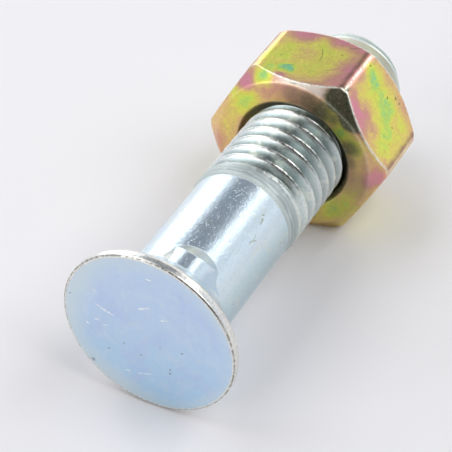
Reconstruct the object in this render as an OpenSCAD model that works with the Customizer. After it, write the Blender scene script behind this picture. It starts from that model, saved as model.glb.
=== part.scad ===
// Plow bolt with its hexagon nut, lying on a level surface.
// The bolt is drawn on its own axis, with the middle of the head's flat face at the origin and the tail along +Z,
// and is then laid down along +X with the head towards -X.

/* [Head] */
// Diameter of the countersunk head
head_d = 19; // [17:0.1:24]
// Width of the straight land around the head
land_h = 1; // [0.6:0.1:2]
// Break on the front edge of the head
head_edge = 0.2; // [0.1:0.05:0.4]
// Full angle of the cone under the head
cone_angle = 90; // [80:1:100]
// Radius of the hollow where the cone runs into the shank
neck_fillet = 2; // [1:0.1:3]

/* [Shank] */
// Length of the bolt over all
bolt_len = 50; // [45:0.5:80]
// Diameter of the plain shank
shank_d = 11.4; // [10.8:0.1:11.9]

/* [Nib] */
// Height of the nib over the shank
nib_h = 1.1; // [0.6:0.1:1.6]
// Radius of the nib's rounded crown
nib_crown = 2.7; // [2.2:0.1:3.4]
// Angle that the nib's foot takes up on the shank
nib_foot = 70; // [58:1:76]
// Distance from the head's face to where the nib runs out on the shank
nib_end = 7.95; // [7:0.05:9]
// Slope of the nib's end ramp to the axis
nib_slope = 28.5; // [24:0.5:45]
// Radius of the end ramp where it runs out
nib_tip = 3; // [1.8:0.1:3.6]
// Turn of the nib about the axis, from straight up
nib_turn = 20; // [0:1:45]

/* [Thread] */
// Thread diameter over the crests
thread_d = 11.9; // [11.6:0.05:12]
// Thread pitch
pitch = 1.75; // [1.5:0.25:2]
// Depth of the thread
thread_depth = 1; // [0.8:0.05:1.1]
// Length of the threaded end
thread_len = 30; // [24:0.5:34]
// Length over which the thread runs out towards the shank
runout = 2.4; // [1.5:0.1:4]
// Turn of the thread about the axis
thread_turn = 191; // [0:1:359]
// Length of the bevel on the tail end
tail_bevel = 1.6; // [0.8:0.1:2]

/* [Nut] */
// Width of the nut across its flats
nut_af = 19; // [18:0.1:20]
// Width of the nut across its rounded corners
nut_corner_d = 21.4; // [21.2:0.1:21.6]
// Height of the nut
nut_h = 10.3; // [8:0.1:11]
// Diameter of the nut's bearing faces
nut_face_d = 18.2; // [17:0.1:18.6]
// Slope of the bevel from the bearing face to the corners
nut_slope = 42; // [30:1:50]
// Diameter of the countersinks in the nut's faces
nut_sink_d = 13.4; // [12.8:0.1:14]
// Clearance around the thread crests in the nut
thread_clear = 0.05; // [0.02:0.01:0.1]
// Length of the tail that stands out of the nut
tail_out = 7.7; // [3:0.1:12]

/* [Hidden] */
$fn = 96;
// Overshoot of cutting shapes past the faces that they cut
over = 1;
// Flat sides of the thread in one turn
turn_sides = 20;
// Short straight steps in the hollow under the head
fillet_steps = 6;
// Slope of the thread's flanks
thread_flank = 30;
// Depth of the nib's foot under the shank's surface
foot_sink = 0.1;
// Half the angle between two corners of the hexagon
hex_half = 30;

head_r = head_d / 2;
shank_r = shank_d / 2;
thread_r = thread_d / 2;
nut_r = nut_af / 2;
nut_face_r = nut_face_d / 2;
nut_corner_r = nut_corner_d / 2;

// Where the cone would meet the shank in a sharp corner, and where the hollow leaves each of them
cone_half = cone_angle / 2;
cone_end = land_h + (head_r - shank_r) / tan(cone_half);
fillet_reach = neck_fillet * tan(cone_half / 2);
fillet_z = cone_end + fillet_reach;

// The nib has a round crown beside the axis with a straight flank down to each foot, and is ended by a cone
nib_off = shank_r + nib_h - nib_crown;
nib_ramp_off = shank_r - nib_tip;
foot_r = shank_r - foot_sink;
foot_at = foot_r * [cos(nib_foot / 2), sin(nib_foot / 2)];

// The thread starts inside the shank, ends in the tail's bevel, and a plain core carries it to the tail's face
thread_start = bolt_len - thread_len;
root_r = thread_r - thread_depth;
core_r = root_r * cos(180 / turn_sides) - thread_clear;
runout_r = shank_r - thread_clear;
flank_w = thread_depth * tan(thread_flank);
crest_w = pitch / 8;
root_w = pitch - crest_w - 2 * flank_w;
ridge_at = [0, flank_w, flank_w + crest_w, pitch - root_w];
thread_low = thread_start - pitch - crest_w;
tail_gap = tail_bevel / 4;
turn_steps = floor((bolt_len - tail_gap - ridge_at[3] - thread_low) / pitch * turn_sides);

// Place of the nut, its bevels, and where a flat's middle starts below a bearing face
nut_at = bolt_len - tail_out - nut_h;
nut_bore_r = thread_r + thread_clear;
nut_sink_h = nut_sink_d / 2 - nut_bore_r;
corner_drop = (nut_corner_r - nut_face_r) * tan(nut_slope);
flat_drop = (nut_r - nut_face_r) * tan(nut_slope);

// The bolt lies on its head's land and on one flat of the nut
head_heavy = head_r >= nut_r;
head_foot = head_heavy ? land_h : head_edge;
nut_foot = head_heavy ? nut_at + nut_h - flat_drop : nut_at + flat_drop;
lie_tilt = atan2(head_r - nut_r, nut_foot - head_foot);
lie_h = (head_r + head_foot * tan(lie_tilt)) * cos(lie_tilt);

// Share of a way from a to b, held between 0 and 1
function share(x, a, b) = min(1, max(0, (x - a) / (b - a)));

// A value between a and b
function blend(a, b, t) = a + (b - a) * t;

// Thread radius at a height on the axis, for a corner that lies on the crest (1) or in the root (0)
function thread_radius(z, crest) =
    let (grown = share(z, thread_start, thread_start + runout))
    let (full = crest == 1 ? thread_r : root_r)
    let (bevelled = blend(root_r, thread_r, share(z, bolt_len - tail_gap, bolt_len - tail_bevel)))
    min(blend(runout_r, full, grown), bevelled);

// Corner j of the thread's section after i steps along the helix
function thread_point(i, j) =
    let (turn = 360 * i / turn_sides)
    let (z = thread_low + pitch * i / turn_sides + ridge_at[j])
    let (r = thread_radius(z, j == 1 || j == 2 ? 1 : 0))
    [r * cos(turn), r * sin(turn), z];

// Lays a shape drawn on the bolt's axis down along +X, with its own +X upwards
module laid_down() {
    translate([-bolt_len / 2, 0, lie_h])
        rotate([0, 90 + lie_tilt, 0])
            rotate([0, 0, 180])
                children();
}

// Head, cone, hollow and plain shank, turned about the axis
module head_and_shank() {
    hollow = [
        for (k = [0:fillet_steps])
            let (a = cone_half * (1 - k / fillet_steps))
            [shank_r + neck_fillet * (1 - cos(a)), fillet_z - neck_fillet * sin(a)]
    ];
    outline = concat(
        [[0, 0], [head_r - head_edge, 0], [head_r, head_edge], [head_r, land_h]],
        hollow,
        [[shank_r, thread_start], [0, thread_start]]
    );
    rotate_extrude()
        polygon(outline);
}

// Rounded rib under the head that keeps the bolt from turning in its seat
module nib() {
    reach = nib_end - land_h;
    rotate([0, 0, nib_turn])
        intersection() {
            translate([0, 0, land_h])
                linear_extrude(height = reach)
                    hull() {
                        translate([nib_off, 0])
                            circle(r = nib_crown);
                        polygon([[0, 0], [foot_at[0], -foot_at[1]], foot_at]);
                    }
            translate([nib_ramp_off, 0, land_h])
                cylinder(h = reach, r1 = nib_tip + reach * tan(nib_slope), r2 = nib_tip);
        }
}

// Right-hand thread with its core as one winding surface, closed by a fan at each end
module thread_body() {
    last = turn_steps;
    points = concat(
        [for (i = [0:last]) for (j = [0:3]) thread_point(i, j)],
        [[0, 0, thread_low], [0, 0, thread_point(last, 3)[2] - pitch / 2]]
    );
    low_middle = 4 * (last + 1);
    high_middle = low_middle + 1;
    ridges = [for (i = [0:last - 1]) for (j = [0:2])
        each let (a = 4 * i + j) [[a, a + 5, a + 4], [a, a + 1, a + 5]]];
    roots = [for (i = [0:last - turn_sides - 1])
        each let (a = 4 * i + 3) let (b = 4 * (i + turn_sides)) [[a, b + 4, a + 4], [a, b, b + 4]]];
    low_fan = [for (i = [0:turn_sides - 1]) [low_middle, 4 * i, 4 * i + 4]];
    low_step = [[low_middle, 4 * turn_sides, 3, 2, 1, 0]];
    high_fan = [for (i = [last - turn_sides:last - 1]) [high_middle, 4 * i + 7, 4 * i + 3]];
    high_step = [[high_middle, 4 * (last - turn_sides) + 3, 4 * last, 4 * last + 1, 4 * last + 2, 4 * last + 3]];
    polyhedron(points, concat(ridges, roots, low_fan, low_step, high_fan, high_step));
}

// Plain end inside the thread, with the flat face of the tail
module tail_core() {
    translate([0, 0, thread_start - over])
        cylinder(h = thread_len + over, r = core_r);
}

// Forged bolt in one piece
module plow_bolt() {
    color("lightsteelblue")
        laid_down()
            union() {
                head_and_shank();
                nib();
                rotate([0, 0, thread_turn])
                    thread_body();
                tail_core();
            }
}

// Hexagon nut with bevelled faces and a countersunk bore
module hex_nut() {
    color("darkkhaki")
        laid_down()
            translate([0, 0, nut_at])
                difference() {
                    intersection() {
                        rotate([0, 0, hex_half])
                            cylinder(h = nut_h, r = nut_r / cos(hex_half), $fn = 6);
                        rotate_extrude()
                            polygon([
                                [0, 0],
                                [nut_face_r, 0],
                                [nut_corner_r, corner_drop],
                                [nut_corner_r, nut_h - corner_drop],
                                [nut_face_r, nut_h],
                                [0, nut_h]
                            ]);
                    }
                    translate([0, 0, -over])
                        cylinder(h = nut_h + 2 * over, r = nut_bore_r);
                    translate([0, 0, -over])
                        cylinder(h = nut_sink_h + over, r1 = nut_sink_d / 2 + over, r2 = nut_bore_r);
                    translate([0, 0, nut_h - nut_sink_h])
                        cylinder(h = nut_sink_h + over, r1 = nut_bore_r, r2 = nut_sink_d / 2 + over);
                }
}

plow_bolt();
hex_nut();
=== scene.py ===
"""Looks of a plow bolt with its hexagon nut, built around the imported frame."""
from math import atan2, cos, pi, radians, sin, sqrt, tan

import bmesh
import bpy
from mathutils import Matrix, Vector, noise


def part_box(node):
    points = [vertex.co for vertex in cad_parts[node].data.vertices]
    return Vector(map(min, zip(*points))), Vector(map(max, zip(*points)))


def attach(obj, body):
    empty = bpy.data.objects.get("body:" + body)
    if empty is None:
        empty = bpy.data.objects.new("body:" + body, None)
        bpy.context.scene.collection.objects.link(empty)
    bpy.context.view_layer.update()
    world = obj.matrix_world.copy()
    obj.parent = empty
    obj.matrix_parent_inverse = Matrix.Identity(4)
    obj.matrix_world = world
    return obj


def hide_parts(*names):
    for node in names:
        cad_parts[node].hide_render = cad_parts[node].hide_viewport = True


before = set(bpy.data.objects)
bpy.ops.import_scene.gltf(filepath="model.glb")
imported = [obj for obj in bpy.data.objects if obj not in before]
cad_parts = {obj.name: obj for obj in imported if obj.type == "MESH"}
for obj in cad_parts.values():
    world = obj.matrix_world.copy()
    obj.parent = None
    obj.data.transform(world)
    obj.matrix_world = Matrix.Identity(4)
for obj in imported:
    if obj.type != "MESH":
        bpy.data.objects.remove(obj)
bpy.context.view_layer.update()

MM = 0.001

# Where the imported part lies: lengths count from the head's face along the bolt's axis, in mm
BOLT_LOW, BOLT_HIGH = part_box("plow_bolt")
NUT_LOW, NUT_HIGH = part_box("hex_nut")
HEAD_X = BOLT_LOW.x
AXIS_Z = (NUT_LOW.z + NUT_HIGH.z) / 2
BOLT_LEN = (BOLT_HIGH.x - BOLT_LOW.x) / MM
NUT_NEAR = (NUT_LOW.x - HEAD_X) / MM
NUT_FAR = (NUT_HIGH.x - HEAD_X) / MM

# Head and neck, with sizes in mm and angles in degrees from here on
HEAD_R = (BOLT_HIGH.z - BOLT_LOW.z) / MM / 2
HEAD_EDGE = 0.24
LAND = 1.0
LAND_ROUND = 0.35
CONE_HALF = 45
SHANK_R = 5.7
NECK_HOLLOW = 2.0

# Wear of the head's rim: its depth, how far it reaches along the bolt, and its waves and grain around the rim
RIM_WEAR = 0.05
RIM_WEAR_END = 2.0
RIM_WAVES = 2.2
RIM_GRAIN = 9

# Nib
NIB_TURN = 20
NIB_H = 1.1
NIB_CROWN = 2.7
NIB_LEFT_FLANK = 47
NIB_RIGHT_FLANK = 42
NIB_ROLL = 10.5
NIB_ROLL_FROM = 5.4
NIB_TIP = 3.0
NIB_END = 7.95
NIB_BURIED = 9.0
NIB_SLOPE = 28.5
NIB_ROOT_ROUND = 0.06
NIB_EDGE_ROUND = 0.06
NIB_SKIN = 0.02

# Thread
PITCH = 1.75
CREST_R = 6.0
ROOT_R = 4.95
CREST_W = 0.22
CREST_ROUND = 0.28
ROOT_ROUND = 0.35
FLANK_ANGLE = 30
BURR = 0.03
BURR_GRAIN = 1.3
THREAD_PHASE = 17.79
THREAD_START = 21.2
THREAD_LEAD = 0.8
THREAD_LEAD_TURN = 30
THREAD_RUNOUT = 2.2
THREAD_EDGE_ROUND = 0.12
COLLAR_START = 19.35
COLLAR_R = 5.95
COLLAR_FLAT = 0.5
TAIL_R = 4.6
TAIL_SLOPE = 0.85
TAIL_EDGE = 0.06

# Mesh of the bolt: rings on both end faces, runs along the neck as their end and number of rings, and columns
FACE_RINGS = (1.2, 2.6, 4.0, 5.4, 6.6, 7.6, 8.4, 8.9, 9.1)
EDGE_TURNS = range(0, 91, 15)
NECK_RUNS = ((0.6, 3), (1.3, 8), (4.6, 22), (8.4, 50), (18.4, 18))
ROWS_PER_PITCH = 22
TAIL_RINGS = (TAIL_R, 3.9, 3.0, 2.0, 0.9)
NIB_COLUMNS = 88
PLAIN_COLUMNS = 85

# Nut
NUT_FLAT_R = (NUT_HIGH.z - NUT_LOW.z) / MM / 2
NUT_CORNER_R = (NUT_HIGH.y - NUT_LOW.y) / MM / 2
NUT_CORNER_ROUND = 0.12
NUT_FACE_R = 9.1
NUT_SLOPE = 42
NUT_SINK_R = 6.7
NUT_SINK_RUN = 0.6
NUT_BORE_R = 5.2
THREAD_PLAY = 0.06

# Soft edges of the nut, as how far each reaches and how worn it is, and the wear and the stain beside the corners
SINK_EDGE = (0.15, 0.3)
FACE_EDGE = (0.2, 0.12)
BEVEL_EDGE = (0.14, 0.9)
EDGE_GUARD = 0.12
CORNER_WEAR = 1.3
STAIN_TURN = 27.6
STAIN_SPREAD = 1.5
HEX_SKIN = 0.03

# Mesh of the nut: columns of half a flat as turns from its middle, rows down a flat, and rows in the bore
FLAT_COLUMNS = (-30, -29.2, -28.4, -27.7, -27.1, -26.5, -25.8, -24.6, -22.5, -19.5, -16, -12, -8, -4)
FLAT_ROWS = (0.06, 0.13, 0.22, 0.33, 0.5, 0.75)
BEVEL_ROWS = (0.25, 0.5, 0.75)
TAPPED_ROWS = 112
TAPPED_INSET = 0.35


def spot(x, r, turn):
    """Point at a length from the head's face, a radius and a turn from straight up towards -Y, in metres."""
    a = radians(turn)
    return Vector((HEAD_X + x * MM, -r * MM * sin(a), AXIS_Z + r * MM * cos(a)))


def smooth_max(a, b, k):
    """The larger of two values, rounded over a width k where they meet."""
    h = max(k - abs(a - b), 0) / k
    return max(a, b) + h * h * k / 4


def smooth_min(a, b, k):
    return -smooth_max(-a, -b, k)


def finish_mesh(name, points, faces):
    """Object of a closed mesh with its faces turned outwards."""
    mesh = bpy.data.meshes.new(name)
    mesh.from_pydata(points, [], faces)
    work = bmesh.new()
    work.from_mesh(mesh)
    bmesh.ops.recalc_face_normals(work, faces=work.faces)
    work.to_mesh(mesh)
    work.free()
    mesh.shade_smooth()
    piece = bpy.data.objects.new(name, mesh)
    bpy.context.scene.collection.objects.link(piece)
    return piece


def mark(piece, name, values, kind="FLOAT"):
    """Stores one value for each point of a piece."""
    layer = piece.data.attributes.new(name, kind, "POINT")
    layer.data.foreach_set("value", values)


# Bolt blank

def neck_radius(x):
    """Radius of the land, cone, hollow and shank at a length from the head's face."""
    cone_end = LAND + HEAD_R - SHANK_R
    hollow_end = cone_end + NECK_HOLLOW * tan(radians(CONE_HALF / 2))
    if x >= hollow_end:
        return SHANK_R
    if x >= hollow_end - NECK_HOLLOW * sin(radians(CONE_HALF)):
        return SHANK_R + NECK_HOLLOW - sqrt(NECK_HOLLOW ** 2 - (hollow_end - x) ** 2)
    return smooth_min(HEAD_R, HEAD_R - (x - LAND), LAND_ROUND)


def nib_radius(x, turn):
    """Radius of the nib at a place, or 0 beside it, and whether that is on a flank or the ramp, not on the crown."""
    side = radians((turn - NIB_TURN + 180) % 360 - 180)
    a = abs(side)

    def rib(off, r):
        inside = r * r - (off * sin(a)) ** 2
        return off * cos(a) + sqrt(inside) if inside > 0 and cos(a) > 0 else 0

    crown_off = SHANK_R + NIB_H - NIB_CROWN
    lean = radians((NIB_RIGHT_FLANK if side > 0 else NIB_LEFT_FLANK) + NIB_ROLL * max(0, x - NIB_ROLL_FROM))
    flank_from = atan2(NIB_CROWN * sin(lean), crown_off + NIB_CROWN * cos(lean))
    if a > lean:
        return 0, False
    crown = rib(crown_off, NIB_CROWN) if a < flank_from else (crown_off * cos(lean) + NIB_CROWN) / cos(a - lean)
    ramp = rib(SHANK_R - NIB_TIP, NIB_TIP + (NIB_END - x) * tan(radians(NIB_SLOPE)))
    return smooth_min(crown, ramp, NIB_EDGE_ROUND), a > flank_from or ramp < crown


def rim_wear(turn):
    """Small unevenness of the forged head's edge, always inwards."""
    a = radians(turn)
    waves = Vector((RIM_WAVES * cos(a), RIM_WAVES * sin(a), 0.4))
    grain = Vector((RIM_GRAIN * cos(a), RIM_GRAIN * sin(a), 3.1))
    return RIM_WEAR * (0.35 + 0.4 * noise.noise(waves) + 0.25 * noise.noise(grain))


def forged_radius(x, turn):
    """Radius of the worn head, the neck with its nib, and the shank."""
    r = neck_radius(x)
    if x < RIM_WEAR_END:
        r -= rim_wear(turn)
    if LAND < x < NIB_BURIED:
        r = smooth_max(r, nib_radius(x, turn)[0], NIB_ROOT_ROUND)
    return min(r, HEAD_R)


def steps(start, end, count):
    """Evenly spaced values after start, up to and with end."""
    return [start + (end - start) * (i + 1) / count for i in range(count)]


def bolt_rows(turns):
    """Rings of the bolt from the head's face to the tail's face, and whether the thread is rolled on each."""
    rows = [([(0, r)] * len(turns), False) for r in FACE_RINGS]
    for a in EDGE_TURNS:
        x = HEAD_EDGE * (1 - cos(radians(a)))
        r = HEAD_R - HEAD_EDGE * (1 - sin(radians(a)))
        rows.append(([(x, r - rim_wear(t)) for t in turns], False))
    start = HEAD_EDGE
    for end, count in NECK_RUNS:
        for x in steps(start, end, count):
            rows.append(([(x, forged_radius(x, t)) for t in turns], False))
        start = end
    rolled = round((BOLT_LEN - start) / PITCH * ROWS_PER_PITCH)
    rows += [([(x, SHANK_R)] * len(turns), True) for x in steps(start, BOLT_LEN - TAIL_EDGE, rolled)]
    rows += [([(BOLT_LEN, r)] * len(turns), False) for r in TAIL_RINGS]
    return rows


def make_bolt_blank():
    """Forged bolt with a plain end, closed by a fan of faces on its head and on its tail."""
    first = NIB_TURN - NIB_COLUMNS // 2
    gap = (360 - NIB_COLUMNS) / PLAIN_COLUMNS
    turns = [first + i for i in range(NIB_COLUMNS)]
    turns += [first + NIB_COLUMNS + gap * i for i in range(PLAIN_COLUMNS)]
    rows = bolt_rows(turns)
    wide = len(turns)
    points, rolled, flank = [spot(0, 0, 0)], [False], [False]
    for ring, threaded in rows:
        for (x, r), t in zip(ring, turns):
            points.append(spot(x, r, t))
            rolled.append(threaded)
            flank.append(LAND < x < NIB_END and r > neck_radius(x) + NIB_SKIN and nib_radius(x, t)[1])
    points.append(spot(BOLT_LEN, 0, 0))
    rolled.append(False)
    flank.append(False)
    faces = []
    last = len(points) - 1
    for j in range(wide):
        k = (j + 1) % wide
        faces.append((0, 1 + j, 1 + k))
        for i in range(len(rows) - 1):
            a, b = 1 + i * wide, 1 + (i + 1) * wide
            faces.append((a + j, b + j, b + k, a + k))
        a = 1 + (len(rows) - 1) * wide
        faces.append((a + j, last, a + k))
    piece = finish_mesh("plow_bolt_forged", points, faces)
    mark(piece, "rolled", rolled, "BOOLEAN")
    mark(piece, "nib_flank", flank)
    return piece


# Nut blank

def past_middle(turn):
    """Turn from the middle of the flat that a turn falls on."""
    return (turn + 30) % 60 - 30


def nut_turns():
    """Turns of the nut's columns, close together at the corners of the hexagon."""
    flat = list(FLAT_COLUMNS) + [0] + [-d for d in reversed(FLAT_COLUMNS[1:])]
    return [60 * side + d for side in range(6) for d in flat]


def hex_radius(turn):
    """Radius of the hexagon with its rounded corners, flats up and down."""
    return smooth_min(NUT_FLAT_R / cos(radians(past_middle(turn))), NUT_CORNER_R, NUT_CORNER_ROUND)


def round_corner(before, corner, after, reach, count=5):
    """Points on a soft edge between two straight runs, with a point just outside it on each run."""
    back = (before - corner).normalized()
    ahead = (after - corner).normalized()
    a, b = corner + back * reach, corner + ahead * reach
    curve = []
    for i in range(count):
        t = i / (count - 1)
        curve.append(a * (1 - t) ** 2 + corner * 2 * t * (1 - t) + b * t ** 2)
    return [a + back * EDGE_GUARD] + curve + [b + ahead * EDGE_GUARD]


def inland(depth, r, turn, drop):
    """Distance in mm from the nearest edge of the nut's face that a point lies on."""
    if depth > drop - 0.05:
        side = abs(past_middle(turn))
        return max(0, min(depth - drop, NUT_FLAT_R * (tan(radians(30)) - tan(radians(side)))))
    if depth > 0.02:
        return 0.4 * min(r - NUT_FACE_R, depth) if r > NUT_FACE_R else 0
    return max(0, min(NUT_FACE_R - r, r - NUT_SINK_R))


def nut_half_outline(turn):
    """Half of the nut's outline in one column, as (depth under the bearing face, radius), its wear and its film."""
    r_hex = hex_radius(turn)
    drop = (r_hex - NUT_FACE_R) * tan(radians(NUT_SLOPE))
    sink = Vector((NUT_SINK_RUN, NUT_SINK_R - NUT_SINK_RUN))
    rim = Vector((0, NUT_SINK_R))
    bearing = Vector((0, NUT_FACE_R))
    edge = Vector((drop, r_hex))
    middle = Vector(((NUT_FAR - NUT_NEAR) / 2, r_hex))
    points, wear = [], []
    for before, corner, after, (reach, worn) in (
        (sink, rim, bearing, SINK_EDGE), (rim, bearing, edge, FACE_EDGE), (bearing, edge, middle, BEVEL_EDGE),
    ):
        part = round_corner(before, corner, after, reach)
        if points:
            start = points[-1]
            points += [start + (part[0] - start) * f for f in BEVEL_ROWS]
            wear += [0] * len(BEVEL_ROWS)
        points += part
        wear += [0, 0.5 * worn, worn, worn, worn, 0.5 * worn, 0]
    start = points[-1]
    points += [start + (middle - start) * f for f in FLAT_ROWS]
    wear += [0] * len(FLAT_ROWS)
    return points, wear, [inland(p.x, p.y, turn, drop) for p in points]


def make_nut_blank():
    """Pressed nut with a plain bore, closed all round in each column."""
    turns = nut_turns()
    tall = NUT_FAR - NUT_NEAR
    tapped_x = [NUT_FAR - TAPPED_INSET - (tall - 2 * TAPPED_INSET) * i / TAPPED_ROWS for i in range(TAPPED_ROWS + 1)]
    in_bore = [0] * len(tapped_x)
    points, wear, tapped, film, stain = [], [], [], [], []
    for t in turns:
        half, worn, depths = nut_half_outline(t)
        outline = [(NUT_NEAR + p.x, p.y) for p in half] + [(NUT_NEAR + tall / 2, half[-1].y)]
        outline += [(NUT_FAR - p.x, p.y) for p in reversed(half)]
        on_hex = [r > hex_radius(t) - HEX_SKIN for x, r in outline]
        corner_wear = max(0, 1 - (30 - abs(past_middle(t))) / CORNER_WEAR)
        corner_stain = min(1, max(0, 1.6 - abs(past_middle(t) - STAIN_TURN) / STAIN_SPREAD))
        column_wear = worn + [0] + worn[::-1]
        points += [spot(x, r, t) for x, r in outline] + [spot(x, NUT_BORE_R, t) for x in tapped_x]
        wear += [max(w, corner_wear) if on else w for w, on in zip(column_wear, on_hex)] + in_bore
        stain += [corner_stain if on else 0 for on in on_hex] + in_bore
        film += depths + [depths[-1]] + depths[::-1] + in_bore
        tapped += [False] * len(outline) + [True] * len(tapped_x)
    tall_count = len(points) // len(turns)
    faces = []
    for j in range(len(turns)):
        a, b = j * tall_count, (j + 1) % len(turns) * tall_count
        for i in range(tall_count):
            k = (i + 1) % tall_count
            faces.append((a + i, a + k, b + k, b + i))
    piece = finish_mesh("hex_nut_pressed", points, faces)
    mark(piece, "rolled", tapped, "BOOLEAN")
    mark(piece, "edge_wear", wear)
    mark(piece, "inland", film)
    mark(piece, "corner_stain", stain)
    return piece


# Node trees

class Graph:
    """Adds nodes to a tree and joins them up as it goes."""

    def __init__(self, tree):
        self.tree = tree

    def join(self, value, socket):
        if isinstance(value, bpy.types.NodeSocket):
            self.tree.links.new(value, socket)
        else:
            socket.default_value = value

    def add(self, kind, inputs=None, **settings):
        node = self.tree.nodes.new(kind)
        for key, value in settings.items():
            setattr(node, key, value)
        for key, value in (inputs or {}).items():
            self.join(value, node.inputs[key])
        return node

    def math(self, operation, *values):
        node = self.add("ShaderNodeMath", operation=operation)
        for value, socket in zip(values, node.inputs):
            self.join(value, socket)
        return node.outputs[0]

    def plus(self, total, *values):
        for value in values:
            total = self.math("ADD", total, value)
        return total

    def times(self, product, *values):
        for value in values:
            product = self.math("MULTIPLY", product, value)
        return product

    def minus(self, first, second):
        return self.math("SUBTRACT", first, second)

    def over(self, first, second):
        return self.math("DIVIDE", first, second)

    def most(self, first, second):
        return self.math("MAXIMUM", first, second)

    def least(self, first, second):
        return self.math("MINIMUM", first, second)

    def size(self, value):
        return self.math("ABSOLUTE", value)

    def vector(self, operation, *values, out=0):
        node = self.add("ShaderNodeVectorMath", operation=operation)
        for value, socket in zip(values, node.inputs):
            self.join(value, socket)
        return node.outputs[out]

    def length(self, value):
        return self.vector("LENGTH", value, out="Value")

    def dot(self, first, second):
        return self.vector("DOT_PRODUCT", first, second, out="Value")

    def scaled(self, value, factor):
        return self.add("ShaderNodeVectorMath", {0: value, "Scale": factor}, operation="SCALE").outputs[0]

    def split(self, value):
        return tuple(self.add("ShaderNodeSeparateXYZ", {0: value}).outputs)

    def point(self, x=0.0, y=0.0, z=0.0):
        return self.add("ShaderNodeCombineXYZ", {0: x, 1: y, 2: z}).outputs[0]

    def rise(self, value, start, end, low=0.0, high=1.0, kind="SMOOTHSTEP"):
        """Smooth or straight step of a value from low at start to high at end."""
        node = self.add("ShaderNodeMapRange", interpolation_type=kind)
        for key, given in enumerate((value, start, end, low, high)):
            self.join(given, node.inputs[key])
        return node.outputs[0]

    def noise(self, place, scale, detail=2.0, rough=0.5):
        node = self.add("ShaderNodeTexNoise", {"Vector": place, "Scale": scale, "Detail": detail, "Roughness": rough})
        return node.outputs[0]

    def tint(self, share, first, second):
        """First tone with a share of the second."""
        node = self.add("ShaderNodeMix", data_type="RGBA")
        for key, given in ((0, share), (6, first), (7, second)):
            self.join(given, node.inputs[key])
        return node.outputs[2]


def colour(r, g, b):
    return (r, g, b, 1.0)


# Threads

def thread_tree(name, labels, limit):
    """Tree that winds a right-hand thread onto the marked rings of a turned piece."""
    tree = bpy.data.node_groups.new(name, "GeometryNodeTree")
    sockets = tree.interface
    sockets.new_socket("Geometry", in_out="INPUT", socket_type="NodeSocketGeometry")
    for label in labels:
        sockets.new_socket(label, in_out="INPUT", socket_type="NodeSocketFloat")
    sockets.new_socket("Finish", in_out="INPUT", socket_type="NodeSocketMaterial")
    sockets.new_socket("Geometry", in_out="OUTPUT", socket_type="NodeSocketGeometry")
    g = Graph(tree)
    given = g.add("NodeGroupInput").outputs
    place = g.add("GeometryNodeInputPosition").outputs[0]
    x, y, z = g.split(place)
    up = g.minus(z, given["Axis Height"])
    turn = g.math("ARCTAN2", g.times(y, -1.0), up)
    wound = g.over(g.minus(x, given["Phase"]), given["Pitch"])
    wound = g.plus(g.minus(wound, g.over(turn, 2 * pi)), 0.5)
    away = g.times(g.size(g.minus(g.math("FRACT", wound), 0.5)), given["Pitch"])
    fall = g.minus(away, g.times(given["Crest Width"], 0.5))
    flank = g.minus(given["Crest Radius"], g.over(fall, tan(radians(FLANK_ANGLE))))
    flank = g.plus(flank, g.times(given["Play"], 2.0))
    grain = g.minus(g.noise(place, BURR_GRAIN / MM, 3.0), 0.5)
    crest = g.plus(given["Crest Radius"], given["Play"], g.times(grain, given["Burr"]))
    radius = g.math("SMOOTH_MIN", flank, crest, given["Crest Round"])
    radius = g.math("SMOOTH_MAX", radius, given["Root Radius"], given["Root Round"])
    radius = limit(g, given, x, turn, radius)
    out = g.scaled(g.vector("NORMALIZE", g.point(0.0, y, up)), radius)
    centre = g.point(x, 0.0, given["Axis Height"])
    rolled = g.add("GeometryNodeInputNamedAttribute", {0: "rolled"}, data_type="BOOLEAN").outputs[0]
    moved = g.add("GeometryNodeSetPosition", {
        "Geometry": given["Geometry"], "Selection": rolled, "Position": g.vector("ADD", centre, out)}).outputs[0]
    whole = g.add("GeometryNodeRealizeInstances", {0: moved}).outputs[0]
    dressed = g.add("GeometryNodeSetMaterial", {"Geometry": whole, "Material": given["Finish"]}).outputs[0]
    g.add("NodeGroupOutput", {"Geometry": dressed})
    return tree


def bolt_limit(g, given, x, turn, radius):
    """Runs the thread out into a collar that swells from the shank, and cuts it with the bevel of the tail."""
    lead = g.math("COSINE", g.plus(turn, given["Lead Turn"]))
    start = g.minus(given["Start"], g.times(lead, given["Lead"]))
    grown = g.rise(x, start, g.plus(start, given["Run-out"]))
    full = g.minus(start, given["Collar Flat"])
    collar = g.rise(x, given["Collar Start"], full, given["Shank Radius"], given["Collar Radius"], "LINEAR")
    radius = g.plus(collar, g.times(g.minus(radius, collar), grown))
    bevel = g.plus(g.times(g.minus(given["Tail"], x), given["Tail Slope"]), given["Tail Radius"])
    return g.math("SMOOTH_MIN", radius, bevel, THREAD_EDGE_ROUND * MM)


def nut_limit(g, given, x, turn, radius):
    """Opens the nut's thread with a countersink at each face, the same at every turn."""
    near = g.minus(given["Sink Radius"], g.minus(x, given["Near Face"]))
    far = g.minus(given["Sink Radius"], g.minus(given["Far Face"], x))
    return g.math("SMOOTH_MAX", radius, g.most(near, far), THREAD_EDGE_ROUND * MM)


def wind_thread(piece, name, limit, sizes, finish):
    """Winds a thread onto a blank and keeps the result as a plain mesh."""
    tree = thread_tree(name, sizes, limit)
    values = {**sizes, "Finish": finish}
    wound = piece.modifiers.new("thread", "NODES")
    wound.node_group = tree
    for socket in tree.interface.items_tree:
        if socket.in_out == "INPUT" and socket.name in values:
            wound[socket.identifier] = values[socket.name]
    seen = bpy.context.evaluated_depsgraph_get()
    mesh = bpy.data.meshes.new_from_object(piece.evaluated_get(seen), depsgraph=seen)
    piece.modifiers.remove(wound)
    blank = piece.data
    piece.data = mesh
    mesh.name = piece.name
    bpy.data.meshes.remove(blank)
    mesh.shade_smooth()


# Finishes

BUMP_DEPTH = 0.03


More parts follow.
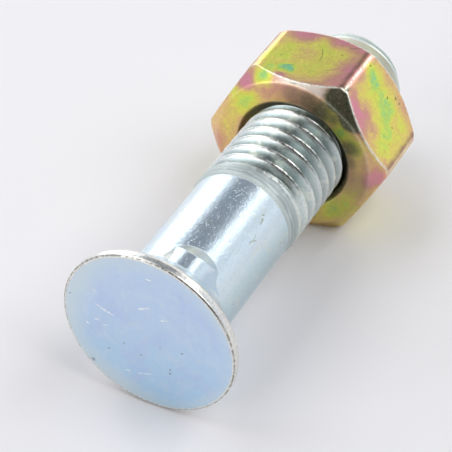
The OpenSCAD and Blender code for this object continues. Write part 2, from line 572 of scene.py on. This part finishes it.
class Skin(Graph):
    """A finish, with the place on the part in mm from the head's face and the axis, and noises of three sizes."""

    def __init__(self, name, broad, mid, fine):
        self.finish = bpy.data.materials.new(name)
        self.finish.use_nodes = True
        self.finish.node_tree.nodes.clear()
        super().__init__(self.finish.node_tree)
        self.place = self.add("ShaderNodeMapping", {
            "Vector": self.add("ShaderNodeTexCoord").outputs["Object"],
            "Location": (-HEAD_X / MM, 0, -AXIS_Z / MM), "Scale": (1 / MM,) * 3}).outputs[0]
        self.x, self.y, self.z = self.split(self.place)
        self.across = self.point(0.0, self.y, self.z)
        self.reach = self.length(self.across)
        self.broad = self.grain(*broad)
        self.mid = self.grain(*mid)
        self.fine = self.grain(*fine)

    def grain(self, *settings):
        return self.noise(self.place, *settings)

    def away(self, middle):
        """Distance from a place on the part."""
        return self.vector("DISTANCE", self.place, middle, out="Value")

    def stored(self, name):
        return self.add("ShaderNodeAttribute", attribute_name=name).outputs["Fac"]

    def lines(self, marks):
        """Mask of thin lines, from the ends of each line and its width."""
        total = 0.0
        for start, end, width in marks:
            run = Vector(end) - Vector(start)
            rel = self.vector("SUBTRACT", self.place, start)
            along = self.over(self.dot(rel, tuple(run)), run.length_squared)
            along = self.least(self.most(along, 0.0), 1.0)
            gap = self.length(self.vector("SUBTRACT", rel, self.scaled(tuple(run), along)))
            total = self.most(total, self.rise(gap, 0.0, width, 1.0, 0.0))
        return total

    def specks(self, marks):
        """Mask of round specks, from the middle of each and its radius."""
        total = 0.0
        for x, y, z, r in marks:
            total = self.most(total, self.rise(self.away((x, y, z)), 0.3 * r, 1.3 * r, 1.0, 0.0))
        return total

    def close(self, base, rough, height):
        """Metal shader with its bump, at the end of the finish."""
        bump = self.add("ShaderNodeBump", {"Height": height, "Strength": 1.0, "Distance": BUMP_DEPTH * MM})
        shader = self.add("ShaderNodeBsdfPrincipled", {
            "Base Color": base, "Metallic": 1.0, "Roughness": rough, "Normal": bump.outputs[0]})
        self.add("ShaderNodeOutputMaterial", {"Surface": shader.outputs[0]})
        return self.finish


BLUE = {
    "shank": colour(0.67, 0.79, 0.87), "shank pale": colour(0.73, 0.82, 0.86), "shank side painted reflection": colour(0.50, 0.67, 0.70),
    "shank warm": colour(0.80, 0.80, 0.68), "shank grain": colour(0.50, 0.62, 0.73), "pit": colour(0.95, 0.97, 1.0),
    "shank mark": colour(0.36, 0.35, 0.22),
    "flank": colour(0.53, 0.60, 0.60), "crest": colour(0.88, 0.89, 0.86), "root painted shade": colour(0.25, 0.295, 0.285),
    "thread right painted light": colour(0.75, 0.84, 0.81), "thread right painted nut shade": colour(0.50, 0.57, 0.56),
    "thread grain": colour(0.42, 0.50, 0.48), "thread warm": colour(0.88, 0.91, 0.78),
    "crest painted shade line": colour(0.17, 0.18, 0.15), "tail": colour(0.89, 0.95, 0.90),
    "collar": colour(0.61, 0.65, 0.61), "collar line": colour(0.38, 0.42, 0.41),
    "nib": colour(0.64, 0.71, 0.74), "nib left painted shade": colour(0.45, 0.47, 0.45), "nib right painted reflection": colour(0.57, 0.70, 0.79),
    "face": colour(0.56, 0.70, 0.885), "face low": colour(0.49, 0.70, 0.875), "face brushed": colour(0.66, 0.77, 0.88),
    "face cloud": colour(0.63, 0.76, 0.88), "face deep": colour(0.50, 0.62, 0.86),
    "face grain": colour(0.47, 0.60, 0.76), "face warm": colour(0.76, 0.75, 0.66),
    "face margin": colour(0.67, 0.77, 0.80),
    "face scratch": colour(1.0, 1.0, 1.0), "face speck": colour(0.16, 0.17, 0.17),
    "rim": colour(0.84, 0.83, 0.79), "rim dull": colour(0.46, 0.455, 0.41), "rim line": colour(0.22, 0.215, 0.17),
}
# Where the blue zinc changes: lengths or radii between which one look runs into the next
FACE_TO_RIM = (0.01, 0.06)
RIM_FROM = (9.12, 9.24)
COLLAR_FROM = (COLLAR_START - 0.05, COLLAR_START + 0.15)
THREAD_FROM = (20.6, 22.0)
TAIL_FROM = (41.5, 43.0)
TAIL_FACE_FROM = (BOLT_LEN - 0.1, BOLT_LEN - 0.03)
# Dark marks on the shank: the ends of each as (length, y, z) in mm, and its width
SHANK_MARKS = (
    ((12.9, -4.5, 3.5), (13.5, -4.6, 3.36), 0.1), ((13.5, -4.6, 3.36), (14.3, -4.52, 3.47), 0.08),
    ((13.6, -4.62, 3.33), (13.9, -4.75, 3.15), 0.1), ((15.9, -4.3, 3.74), (16.5, -4.2, 3.85), 0.2),
    ((16.8, -4.0, 4.05), (17.0, -4.1, 3.96), 0.16), ((17.6, -5.68, 0.4), (17.75, -5.69, 0.3), 0.16),
    ((18.5, -5.69, -0.2), (18.6, -5.69, -0.36), 0.16), ((7.0, -5.68, 0.5), (7.1, -5.67, 0.6), 0.14),
)
# Scratches on the head's face, given in the same way
FACE_SCRATCHES = (
    ((0, 5.62, 1.75), (0, 5.1, 1.55), 0.10), ((0, 5.0, 1.45), (0, 3.9, 1.1), 0.19),
    ((0, 0.75, 3.08), (0, 0.15, 3.3), 0.2), ((0, -0.05, 3.5), (0, -0.4, 3.6), 0.14),
    ((0, 5.9, -0.3), (0, 5.5, -0.2), 0.16), ((0, 5.1, -0.75), (0, 4.5, -0.6), 0.1),
    ((0, -0.25, 7.2), (0, -0.75, 7.2), 0.15), ((0, -1.6, 2.5), (0, -2.3, 2.75), 0.12),
    ((0, 2.75, -5.85), (0, 2.2, -5.8), 0.10), ((0, 1.3, -5.7), (0, -0.2, -5.2), 0.08),
    ((0, 6.9, -1.1), (0, 6.75, -1.2), 0.17), ((0, 6.0, 3.6), (0, 5.5, 3.4), 0.08),
)
# Specks on the head's face: the middle of each as (length, y, z) in mm, and its radius
FACE_SPECKS = (
    (0, 6.49, -6.01, 0.26), (0, 4.54, -3.66, 0.13), (0, 2.74, -2.22, 0.12), (0, -2.33, -3.68, 0.14),
    (0, -2.31, -4.24, 0.15), (0, -3.76, -0.92, 0.12), (0, -1.33, -1.16, 0.10), (0, 0.87, -3.04, 0.11),
    (0, 8.55, 2.02, 0.14),
)


def pit_mask(skin):
    """Mask of small round pits, each of its own size, with fewer of them in smooth places."""
    cells = skin.add("ShaderNodeTexVoronoi", {"Vector": skin.place, "Scale": 4.2}).outputs
    chance = skin.add("ShaderNodeSeparateColor", {0: cells["Color"]}).outputs[0]
    pits = skin.rise(cells["Distance"], skin.rise(chance, 0.1, 1.0, 0.12, 0.4), 0.04)
    return skin.times(pits, skin.rise(skin.mid, 0.34, 0.58, 0.35, 1.0))


def shank_tone(skin, pits):
    """Blue of the shank, with a painted greener reflection towards its sides, warm stains, a fine grain and bright
    pits.
    """
    tone = skin.tint(skin.rise(skin.broad, 0.35, 0.7), BLUE["shank"], BLUE["shank pale"])
    side_reflection = skin.over(skin.size(skin.y), skin.reach)
    # Painted reflection: greener towards the shank's sides
    tone = skin.tint(skin.rise(side_reflection, 0.86, 1.0, 0.0, 0.6), tone, BLUE["shank side painted reflection"])
    tone = skin.tint(skin.rise(skin.mid, 0.54, 0.74, 0.0, 0.4), tone, BLUE["shank warm"])
    tone = skin.tint(skin.rise(skin.fine, 0.52, 0.7, 0.0, 0.45), tone, BLUE["shank grain"])
    return skin.tint(skin.times(pits, 0.8), tone, BLUE["pit"])


def collar_tone(skin):
    """Grey of the collar, with the lines that the rolling left around it."""
    lines = skin.noise(skin.point(skin.times(skin.x, 3.4), skin.mid), 1.0, 3.0)
    return skin.tint(skin.rise(lines, 0.42, 0.6), BLUE["collar"], BLUE["collar line"])


def thread_tone(skin, on_tail):
    """Tones of the thread: crests with a painted highlight, roots with painted shade, a painted shade line along the
    crests up on the right, its right side painted paler near the head and with painted shade towards the nut, and a
    pale tail.
    """
    # Painted highlight along the crests
    tone = skin.tint(skin.rise(skin.reach, 5.62, 5.86), BLUE["flank"], BLUE["crest"])
    # Painted shade in the thread's roots
    tone = skin.tint(skin.rise(skin.reach, 5.3, 5.7, 0.85, 0.0), tone, BLUE["root painted shade"])
    # Painted light and shade on the thread's right side: paler near the head, darker towards the nut where the nut's
    # shade falls
    side = skin.tint(skin.rise(skin.x, 22.5, 30.5), BLUE["thread right painted light"], BLUE["thread right painted nut shade"])
    tone = skin.tint(skin.rise(skin.y, -3.4, -4.6, 0.0, 0.7), tone, side)
    tone = skin.tint(skin.rise(skin.fine, 0.5, 0.66, 0.0, 0.45), tone, BLUE["thread grain"])
    tone = skin.tint(skin.rise(skin.mid, 0.52, 0.68, 0.0, 0.45), tone, BLUE["thread warm"])
    tone = skin.tint(skin.times(on_tail, 0.7), tone, BLUE["tail"])
    # Painted shade: a broken dark line along the crests up on the right, where the next groove lies in shade
    crest_shade = skin.times(skin.rise(skin.reach, 5.80, 5.88), skin.rise(skin.grain(1.3, 4.0, 0.6), 0.48, 0.56, 0.0, 0.8))
    up_right = skin.times(skin.rise(skin.y, 0.5, -1.5), skin.rise(skin.y, -5.4, -4.4), skin.minus(1.0, on_tail))
    return skin.tint(skin.times(crest_shade, up_right), tone, BLUE["crest painted shade line"])


def nib_tone(skin):
    """Tones of the nib's flanks and ramp: painted shade on its left and a painted bluer reflection on its right."""
    # Painted shade on the nib's left, painted bluer reflection on its right
    tone = skin.tint(skin.rise(skin.y, -1.6, -0.6), BLUE["nib"], BLUE["nib left painted shade"])
    return skin.tint(skin.rise(skin.y, -3.2, -3.7), tone, BLUE["nib right painted reflection"])


def face_tone(skin, scratched, specked):
    """Dull blue of the head's face, brushed and cloudy, with a paler margin and its marks."""
    tone = skin.tint(skin.rise(skin.z, 4.0, -9.0), BLUE["face"], BLUE["face low"])
    brushed = skin.add("ShaderNodeMapping", {
        "Vector": skin.across, "Rotation": (0.17, 0, 0), "Scale": (1, 0.5, 4.0)}).outputs[0]
    tone = skin.tint(skin.rise(skin.noise(brushed, 0.9, 4.0, 0.6), 0.46, 0.72, 0.0, 0.2), tone, BLUE["face brushed"])
    tone = skin.tint(skin.rise(skin.mid, 0.44, 0.66, 0.0, 0.5), tone, BLUE["face cloud"])
    tone = skin.tint(skin.rise(skin.grain(0.33, 3.0), 0.48, 0.66, 0.0, 0.5), tone, BLUE["face deep"])
    tone = skin.tint(skin.rise(skin.fine, 0.55, 0.75, 0.0, 0.35), tone, BLUE["face grain"])
    tone = skin.tint(skin.rise(skin.grain(1.9, 3.0), 0.62, 0.72, 0.0, 0.35), tone, BLUE["face warm"])
    margin = skin.plus(skin.reach, skin.times(skin.minus(skin.broad, 0.5), 3.0), skin.times(skin.y, 0.08))
    tone = skin.tint(skin.rise(margin, 6.8, 9.8, 0.0, 0.8), tone, BLUE["face margin"])
    tone = skin.tint(scratched, tone, BLUE["face scratch"])
    return skin.tint(skin.times(specked, 0.55), tone, BLUE["face speck"])


def rim_tone(skin):
    """Tones of the head's land, duller low on the left, with a broken dark line along its front edge."""
    low_left = skin.rise(skin.minus(skin.y, skin.times(skin.z, 0.6)), -2.0, 7.0, 0.4, 1.0)
    dull = skin.times(skin.rise(skin.grain(4.2, 4.0), 0.46, 0.64), low_left)
    tone = skin.tint(dull, BLUE["rim"], BLUE["rim dull"])
    front = skin.times(skin.rise(skin.reach, 9.28, 9.36), skin.rise(skin.x, 0.08, 0.16, 1.0, 0.0))
    front = skin.times(front, skin.rise(skin.grain(3.0, 4.0), 0.40, 0.54, 0.15, 0.85))
    return skin.tint(front, tone, BLUE["rim line"])


def blue_zinc():
    """Pale blue zinc: glossy with a fine grain, duller and bluer on the head's face."""
    skin = Skin("blue_zinc_plating", broad=(0.16, 2.0), mid=(0.7, 3.0), fine=(3.2, 4.0, 0.65))
    on_face = skin.rise(skin.x, *FACE_TO_RIM, 1.0, 0.0)
    on_rim = skin.rise(skin.reach, *RIM_FROM)
    on_collar = skin.rise(skin.x, *COLLAR_FROM)
    on_thread = skin.rise(skin.x, *THREAD_FROM)
    on_tail = skin.rise(skin.x, *TAIL_FROM)
    pits = pit_mask(skin)
    marked = skin.times(skin.lines(SHANK_MARKS), skin.rise(skin.fine, 0.35, 0.5))
    scratched = skin.times(skin.lines(FACE_SCRATCHES), on_face, skin.rise(skin.grain(4.6, 2.0), 0.4, 0.54, 0.15, 1.0))
    specked = skin.times(skin.specks(FACE_SPECKS), on_face)

    base = shank_tone(skin, pits)
    base = skin.tint(skin.times(on_collar, 0.8), base, collar_tone(skin))
    base = skin.tint(on_thread, base, thread_tone(skin, on_tail))
    base = skin.tint(skin.stored("nib_flank"), base, nib_tone(skin))
    base = skin.tint(skin.times(marked, 0.75), base, BLUE["shank mark"])
    base = skin.tint(on_face, base, face_tone(skin, scratched, specked))
    base = skin.tint(on_rim, base, rim_tone(skin))

    rough = skin.plus(
        0.26, skin.times(skin.fine, 0.06), skin.times(on_collar, skin.minus(1.0, on_thread), 0.36),
        skin.times(pits, skin.rise(on_thread, 0.0, 1.0, 0.4, 0.0)), skin.times(on_tail, 0.22),
        skin.times(on_face, 0.08), skin.times(scratched, 0.2),
    )
    height = skin.plus(skin.times(skin.fine, 0.95), skin.times(pits, -0.75), skin.times(skin.grain(1.2, 2.0), 0.6))
    height = skin.times(height, skin.rise(on_thread, 0.0, 1.0, 1.0, 0.8))
    height = skin.minus(height, skin.times(specked, 1.5))
    rings = skin.noise(skin.point(skin.times(skin.reach, 3.0)), 1.0, 3.0)
    height = skin.plus(height, skin.times(rings, skin.rise(skin.x, *TAIL_FACE_FROM, 0.0, 0.9)))
    return skin.close(base, rough, height)


YELLOW = {
    "dark": colour(0.16, 0.16, 0.10), "dark grain": colour(0.34, 0.32, 0.25), "grain": colour(0.34, 0.27, 0.14),
    "vein": colour(0.48, 0.33, 0.17), "corner": colour(0.30, 0.16, 0.12), "mark": colour(0.16, 0.13, 0.06),
    "edge": colour(0.93, 0.90, 0.78), "painted_highlight": colour(1.0, 0.96, 0.86), "bore": colour(0.16, 0.17, 0.09),
}
# Colours of the film as it grows thicker: green, lime, yellow, gold, orange, brown and pink
FILM_STOPS = (
    (0.0, (0.30, 0.72, 0.38)), (0.16, (0.50, 0.80, 0.20)), (0.32, (0.78, 0.84, 0.13)),
    (0.47, (0.86, 0.76, 0.16)), (0.62, (0.84, 0.56, 0.24)), (0.78, (0.74, 0.38, 0.27)),
    (1.0, (0.80, 0.31, 0.38)),
)
# Patches of the film: middle (length, y, z) in mm, reach in mm, and shift towards green (less) or pink (more)
FILM_PATCHES = (
    (34.4, 1.7, 9.5, 1.2, -0.5), (41.2, 2.6, 9.5, 2.2, 0.42), (37.2, -4.3, 9.5, 2.0, 0.40),
    (34.4, -4.2, 9.5, 2.2, 0.36), (40.6, -4.2, 9.5, 2.0, 0.36), (37.6, 1.0, 9.5, 1.8, 0.20),
    (37.0, 4.2, 9.5, 1.6, -0.12), (41.4, -1.4, 9.5, 1.8, 0.36), (33.2, 4.6, 9.5, 1.2, 0.30),
    (33.0, 2.2, 9.5, 1.2, 0.34), (33.2, -6.4, 8.0, 1.7, 0.40), (33.4, -7.6, 5.8, 1.8, 0.38),
    (38.9, -6.3, 8.2, 1.4, -0.30), (38.5, -7.3, 6.4, 1.4, -0.16), (38.2, -8.3, 4.6, 1.6, -0.24),
    (36.4, -9.1, 3.2, 1.6, -0.16), (41.2, -9.1, 3.2, 1.6, 0.10), (34.4, -9.4, 2.7, 1.6, -0.14),
    (41.4, -7.2, 6.6, 1.6, 0.08), (34.6, -8.6, 4.1, 1.2, 0.26), (34.8, -7.3, 6.4, 1.3, 0.24),
    (32.0, 5.9, 5.7, 2.2, -0.24), (32.0, 3.2, 7.9, 1.6, 0.26), (32.0, 8.2, -1.2, 2.4, 0.08),
    (32.0, -8.2, 0.2, 2.4, 0.10), (32.0, -6.6, -2.8, 1.6, -0.08), (32.0, -5.3, -5.6, 2.0, -0.24),
    (32.6, 5.9, 7.8, 1.4, 0.58), (32.7, 3.7, 9.0, 1.7, -0.62), (32.0, 0.9, 8.1, 1.8, 0.28),
    (32.6, -9.7, -0.4, 1.4, 0.36), (32.0, -7.6, 3.6, 1.6, -0.10), (32.0, -5.4, 4.5, 1.1, -0.3),
    (32.0, -1.8, 7.6, 2.4, 0.3),
)
# Painted dark reflections on the bevel, sharp, and painted shade on the near face, soft: middle, reach and share of the
# dark tone
PAINTED_DARK_REFLECTIONS = ((32.7, -5.3, 8.6, 1.9, 1.0), (32.7, -7.0, 7.0, 2.1, 1.0))
PAINTED_SHADE_PATCHES = (
    (32.0, -0.2, 7.9, 1.8, 0.6), (32.0, -1.8, 7.6, 1.8, 0.75), (32.0, -3.4, 6.8, 1.9, 0.9),
    (32.0, -4.7, 6.3, 1.2, 0.75), (32.0, -6.8, 3.0, 1.6, 0.85), (32.0, -6.6, 1.3, 1.5, 0.7),
    (32.0, -7.4, -1.8, 3.2, 0.45), (32.0, -6.5, -5.5, 3.8, 0.36),
)
PATCH_SOFTNESS = ((PAINTED_DARK_REFLECTIONS, 0.3), (PAINTED_SHADE_PATCHES, 0.8))
# Dark specks and scratches on the nut, as (length, y, z) in mm with a radius or width
NUT_SPECKS = (
    (39.29, -5.80, 8.96, 0.16), (39.38, -7.90, 5.31, 0.18), (40.66, -8.35, 4.54, 0.2), (40.78, -8.73, 3.88, 0.16),
    (37.63, -9.30, 2.89, 0.13), (36.2, 3.4, 9.5, 0.1), (39.0, -2.6, 9.5, 0.1),
)
NUT_SCRATCHES = (
    ((39.2, -0.2, 9.5), (38.1, -0.64, 9.5), 0.07), ((38.1, -0.64, 9.5), (37.0, -0.83, 9.5), 0.07),
    ((35.6, -2.2, 9.5), (36.3, -3.1, 9.5), 0.05), ((40.6, -2.9, 9.5), (41.3, -4.4, 9.5), 0.06),
)
# Painted highlight on the bevel, a pale patch: its middle and reach
PAINTED_HIGHLIGHT_MIDDLE = (32.7, -1.1, 9.4)
PAINTED_HIGHLIGHT_REACH = 3.6
# Where the nut's painted shade and painted highlight run out: distances, lengths or radii between which one look runs
# into the next
FLATS_FROM = (9.42, 9.48)
BEVEL_END = (NUT_NEAR + 1.0, NUT_NEAR + 1.3)
BEVEL_FROM = (NUT_NEAR + 0.03, NUT_NEAR + 0.12)
BORE_SHADE_EDGE = (6.35, 6.75)


def off_flats_mask(skin):
    """Mask of everything on the nut but its six flats."""
    out = skin.size(skin.z)
    for turn in (60, -60):
        way = (0.0, -sin(radians(turn)), cos(radians(turn)))
        out = skin.most(out, skin.size(skin.dot(skin.place, way)))
    return skin.rise(out, *FLATS_FROM, 1.0, 0.0)


def film_tone(skin, inland_mm, mid):
    """Colour of the film, by the distance from a face's edge, the noises and the patches."""
    deep = skin.least(skin.most(skin.plus(inland_mm, skin.times(mid, 3.0)), 0.0), 2.0)
    film = skin.plus(
        skin.minus(0.64, skin.times(deep, 0.11)), skin.times(skin.minus(skin.broad, 0.5), 0.4),
        skin.times(mid, 0.6), skin.times(skin.minus(skin.fine, 0.5), 0.3),
    )
    for x, y, z, spread, shift in FILM_PATCHES:
        away = skin.plus(skin.away((x, y, z)), skin.times(mid, 3.0))
        film = skin.plus(film, skin.rise(away, 0.1 * spread, 1.3 * spread, shift, 0.0))
    ramp = skin.add("ShaderNodeValToRGB", {0: film})
    stops = ramp.color_ramp.elements
    for i, (at, mix) in enumerate(FILM_STOPS):
        stop = stops[i] if i < 2 else stops.new(at)
        stop.position = at
        stop.color = colour(*mix)
    return ramp.outputs[0]


def painted_shade_mask(skin, inland_mm, mid):
    """Share of the painted shade and painted dark reflections on the bevel and the near face, greater towards the
    right.
    """
    dark = skin.times(
        skin.rise(skin.y, 3.5, -2.0, 0.0, 0.2), skin.rise(skin.x, *BEVEL_END, 1.0, 0.0),
        skin.rise(inland_mm, 2.6, 2.9, 1.0, 0.0),
    )
    for patches, soft in PATCH_SOFTNESS:
        for x, y, z, spread, share in patches:
            away = skin.plus(skin.away((x, y, z)), skin.times(mid, 1.2))
            patch = skin.rise(away, (1.05 - soft) * spread, (1.05 + 0.2 * soft) * spread, share, 0.0)
            dark = skin.most(dark, patch)
    return dark


def yellow_zinc():
    """Yellow zinc: a thin film over bright metal, pink at the edges and yellow, green and teal inland, with painted
    shade and dark reflections on the bevel, near face and bore, and a painted highlight on the bevel.
    """
    skin = Skin("yellow_zinc_plating", broad=(0.17, 2.0), mid=(0.55, 5.0, 0.62), fine=(3.4, 4.0, 0.65))
    mid = skin.minus(skin.mid, 0.5)
    inland_mm = skin.stored("inland")
    off_flats = off_flats_mask(skin)
    # Painted shade and painted dark reflections on the bevel and the near face
    dark = skin.times(painted_shade_mask(skin, inland_mm, mid), off_flats)
    painted_dark_tone = skin.tint(skin.rise(skin.fine, 0.5, 0.68, 0.0, 0.7), YELLOW["dark"], YELLOW["dark grain"])
    base = skin.tint(dark, film_tone(skin, inland_mm, mid), painted_dark_tone)
    base = skin.tint(skin.rise(skin.fine, 0.62, 0.78, 0.0, 0.5), base, YELLOW["grain"])
    vein = skin.size(skin.minus(skin.grain(1.1, 5.0, 0.6), 0.5))
    base = skin.tint(skin.rise(vein, 0.0, 0.03, 0.3, 0.0), base, YELLOW["vein"])
    stained = skin.times(skin.stored("corner_stain"), skin.rise(mid, -0.15, 0.1, 0.4, 0.85))
    base = skin.tint(stained, base, YELLOW["corner"])
    marked = skin.most(skin.specks(NUT_SPECKS), skin.lines(NUT_SCRATCHES))
    base = skin.tint(skin.times(marked, 0.8), base, YELLOW["mark"])
    # Pale worn edges: partly real wear and partly painted highlight, paler towards the top and held back on the left
    edge = skin.times(
        skin.stored("edge_wear"), skin.rise(skin.grain(2.4, 4.0, 0.6), 0.38, 0.54, 0.3, 1.0),
        skin.rise(skin.z, -3.0, 3.0, 0.35, 1.0), skin.rise(skin.y, 4.5, 1.0, 0.35, 1.0),
    )
    base = skin.tint(edge, base, YELLOW["edge"])
    # Painted highlight: a pale patch on the bevel, also a little rougher
    painted_highlight = skin.times(
        skin.rise(skin.away(PAINTED_HIGHLIGHT_MIDDLE), 0.4 * PAINTED_HIGHLIGHT_REACH, 1.1 * PAINTED_HIGHLIGHT_REACH, 0.85, 0.0),
        skin.rise(skin.x, *BEVEL_FROM), off_flats, skin.minus(1.0, dark),
    )
    base = skin.tint(painted_highlight, base, YELLOW["painted_highlight"])
    # Painted shade in the bore and the countersinks, weaker on the left
    in_bore = skin.times(skin.rise(skin.reach, *BORE_SHADE_EDGE, 0.85, 0.0), skin.rise(skin.y, 3.0, 6.0, 1.0, 0.4))
    base = skin.tint(in_bore, base, YELLOW["bore"])
    rough = skin.plus(0.27, skin.times(skin.fine, 0.18), skin.times(painted_highlight, 0.2))
    return skin.close(base, rough, skin.plus(skin.fine, skin.grain(1.1, 2.0)))


# Pieces

bolt = make_bolt_blank()
nut = make_nut_blank()
thread_sizes = {
    "Axis Height": AXIS_Z, "Pitch": PITCH * MM, "Phase": HEAD_X + THREAD_PHASE * MM, "Crest Radius": CREST_R * MM,
    "Crest Width": CREST_W * MM, "Crest Round": CREST_ROUND * MM, "Root Round": ROOT_ROUND * MM,
}
bolt_sizes = {
    **thread_sizes, "Root Radius": ROOT_R * MM, "Play": 0.0, "Burr": BURR * MM, "Shank Radius": SHANK_R * MM,
    "Collar Start": HEAD_X + COLLAR_START * MM, "Collar Radius": COLLAR_R * MM, "Collar Flat": COLLAR_FLAT * MM,
    "Start": HEAD_X + THREAD_START * MM, "Lead": THREAD_LEAD * MM, "Lead Turn": radians(THREAD_LEAD_TURN),
    "Run-out": THREAD_RUNOUT * MM, "Tail": BOLT_HIGH.x, "Tail Radius": TAIL_R * MM, "Tail Slope": TAIL_SLOPE,
}
nut_sizes = {
    **thread_sizes, "Root Radius": NUT_BORE_R * MM, "Play": THREAD_PLAY * MM, "Burr": 0.0,
    "Near Face": NUT_LOW.x, "Far Face": NUT_HIGH.x, "Sink Radius": NUT_SINK_R * MM,
}
wind_thread(bolt, "rolled_thread", bolt_limit, bolt_sizes, blue_zinc())
wind_thread(nut, "tapped_thread", nut_limit, nut_sizes, yellow_zinc())

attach(bolt, "bolt")
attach(nut, "nut")
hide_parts("plow_bolt")
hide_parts("hex_nut")


# Floor, light and camera

FLOOR_HALF = 3.0
FLOOR_TONE = colour(0.845, 0.82, 0.825)
FLOOR_ROUGH = 0.7
# Surroundings: pale near the horizon and darker above, with the heights in degrees between which they change, a dark
# part behind the camera and a bright one beyond the nut
SKY_LOW, SKY_HIGH = colour(0.66, 0.71, 0.78), colour(0.20, 0.22, 0.26)
SKY_EDGE = (24, 36)
BEHIND, BEHIND_EDGE, BEHIND_TONE = Vector((-0.80, -0.46, 0.38)), (0.60, 0.86), colour(0.07, 0.07, 0.07)
BEYOND, BEYOND_EDGE, BEYOND_TONE = Vector((0.99, 0.02, 0.10)), (0.84, 0.98), colour(1.3, 1.3, 1.27)
BEYOND_SHARE = 0.9
# Lamps: name, azimuth from +X towards +Y, elevation, width and height in metres, brightness and roll
LAMP_DISTANCE = 0.7
LAMPS = (
    ("back_left", 50, 20, 0.42, 0.36, 2.1, 0), ("back_right", -30, 38, 0.15, 0.6, 1.9, 42),
    ("back_right_low", -46, 12, 0.16, 0.18, 0.5, 0), ("front_left", 154, 22, 0.5, 0.55, 1.7, 0),
    ("right", -88, 54, 0.5, 0.45, 3.0, 0), ("left", 92, 58, 0.5, 0.42, 2.2, 0),
)
# Camera: its place from the middle of the head's face in metres, its own right and up, and its lens in mm
CAMERA_PLACE = Vector((-0.10230, -0.06348, 0.11279))
CAMERA_RIGHT = Vector((0.46013, -0.88772, -0.01523))
CAMERA_UP = Vector((0.57131, 0.28291, 0.77044))
CAMERA_LENS = 136.06
CAMERA_SENSOR = 36
CAMERA_NEAR = 0.01


def make_floor():
    mesh = bpy.data.meshes.new("floor")
    half = FLOOR_HALF
    mesh.from_pydata([(-half, -half, 0), (half, -half, 0), (half, half, 0), (-half, half, 0)], [], [(0, 1, 2, 3)])
    floor = bpy.data.objects.new("floor", mesh)
    bpy.context.scene.collection.objects.link(floor)
    finish = bpy.data.materials.new("pale_floor")
    finish.use_nodes = True
    shader = finish.node_tree.nodes["Principled BSDF"]
    shader.inputs["Base Color"].default_value = FLOOR_TONE
    shader.inputs["Roughness"].default_value = FLOOR_ROUGH
    mesh.materials.append(finish)


def softbox(name, azimuth, elevation, width, height, radiance, roll):
    """Rectangular lamp that looks at the part; the radiance is its own brightness."""
    lamp = bpy.data.lights.new(name, "AREA")
    lamp.shape = "RECTANGLE"
    lamp.size, lamp.size_y = width, height
    lamp.energy = radiance * pi * width * height
    box = bpy.data.objects.new(name, lamp)
    bpy.context.scene.collection.objects.link(box)
    a, e = radians(azimuth), radians(elevation)
    way = Vector((cos(e) * cos(a), cos(e) * sin(a), sin(e)))
    turn = way.to_track_quat("Z", "Y").to_matrix().to_4x4() @ Matrix.Rotation(radians(roll), 4, "Z")
    box.matrix_world = Matrix.Translation(way * LAMP_DISTANCE + Vector((0, 0, AXIS_Z))) @ turn
    box.visible_camera = False


def make_surroundings():
    world = bpy.data.worlds.new("studio")
    bpy.context.scene.world = world
    world.use_nodes = True
    world.node_tree.nodes.clear()
    g = Graph(world.node_tree)
    way = g.add("ShaderNodeTexCoord").outputs["Generated"]
    up = g.split(way)[2]
    sky = g.tint(g.rise(up, *(sin(radians(height)) for height in SKY_EDGE)), SKY_LOW, SKY_HIGH)
    behind = g.dot(way, tuple(BEHIND.normalized()))
    sky = g.tint(g.rise(behind, *BEHIND_EDGE), sky, BEHIND_TONE)
    beyond = g.dot(way, tuple(BEYOND.normalized()))
    sky = g.tint(g.rise(beyond, *BEYOND_EDGE, 0.0, BEYOND_SHARE), sky, BEYOND_TONE)
    back = g.add("ShaderNodeBackground", {"Color": sky, "Strength": 1.0})
    g.add("ShaderNodeOutputWorld", {"Surface": back.outputs[0]})


def make_camera():
    """Camera in front of the head, to its right and above."""
    data = bpy.data.cameras.new("camera")
    data.sensor_width = CAMERA_SENSOR
    data.lens = CAMERA_LENS
    data.clip_start = CAMERA_NEAR
    camera = bpy.data.objects.new("camera", data)
    bpy.context.scene.collection.objects.link(camera)
    turn = Matrix((CAMERA_RIGHT, CAMERA_UP, CAMERA_RIGHT.cross(CAMERA_UP))).transposed().to_4x4()
    camera.matrix_world = Matrix.Translation(Vector((HEAD_X, 0, AXIS_Z)) + CAMERA_PLACE) @ turn
    bpy.context.scene.camera = camera


make_floor()
make_surroundings()
for lamp_settings in LAMPS:
    softbox(*lamp_settings)
make_camera()
bpy.context.scene.view_settings.view_transform = "Standard"
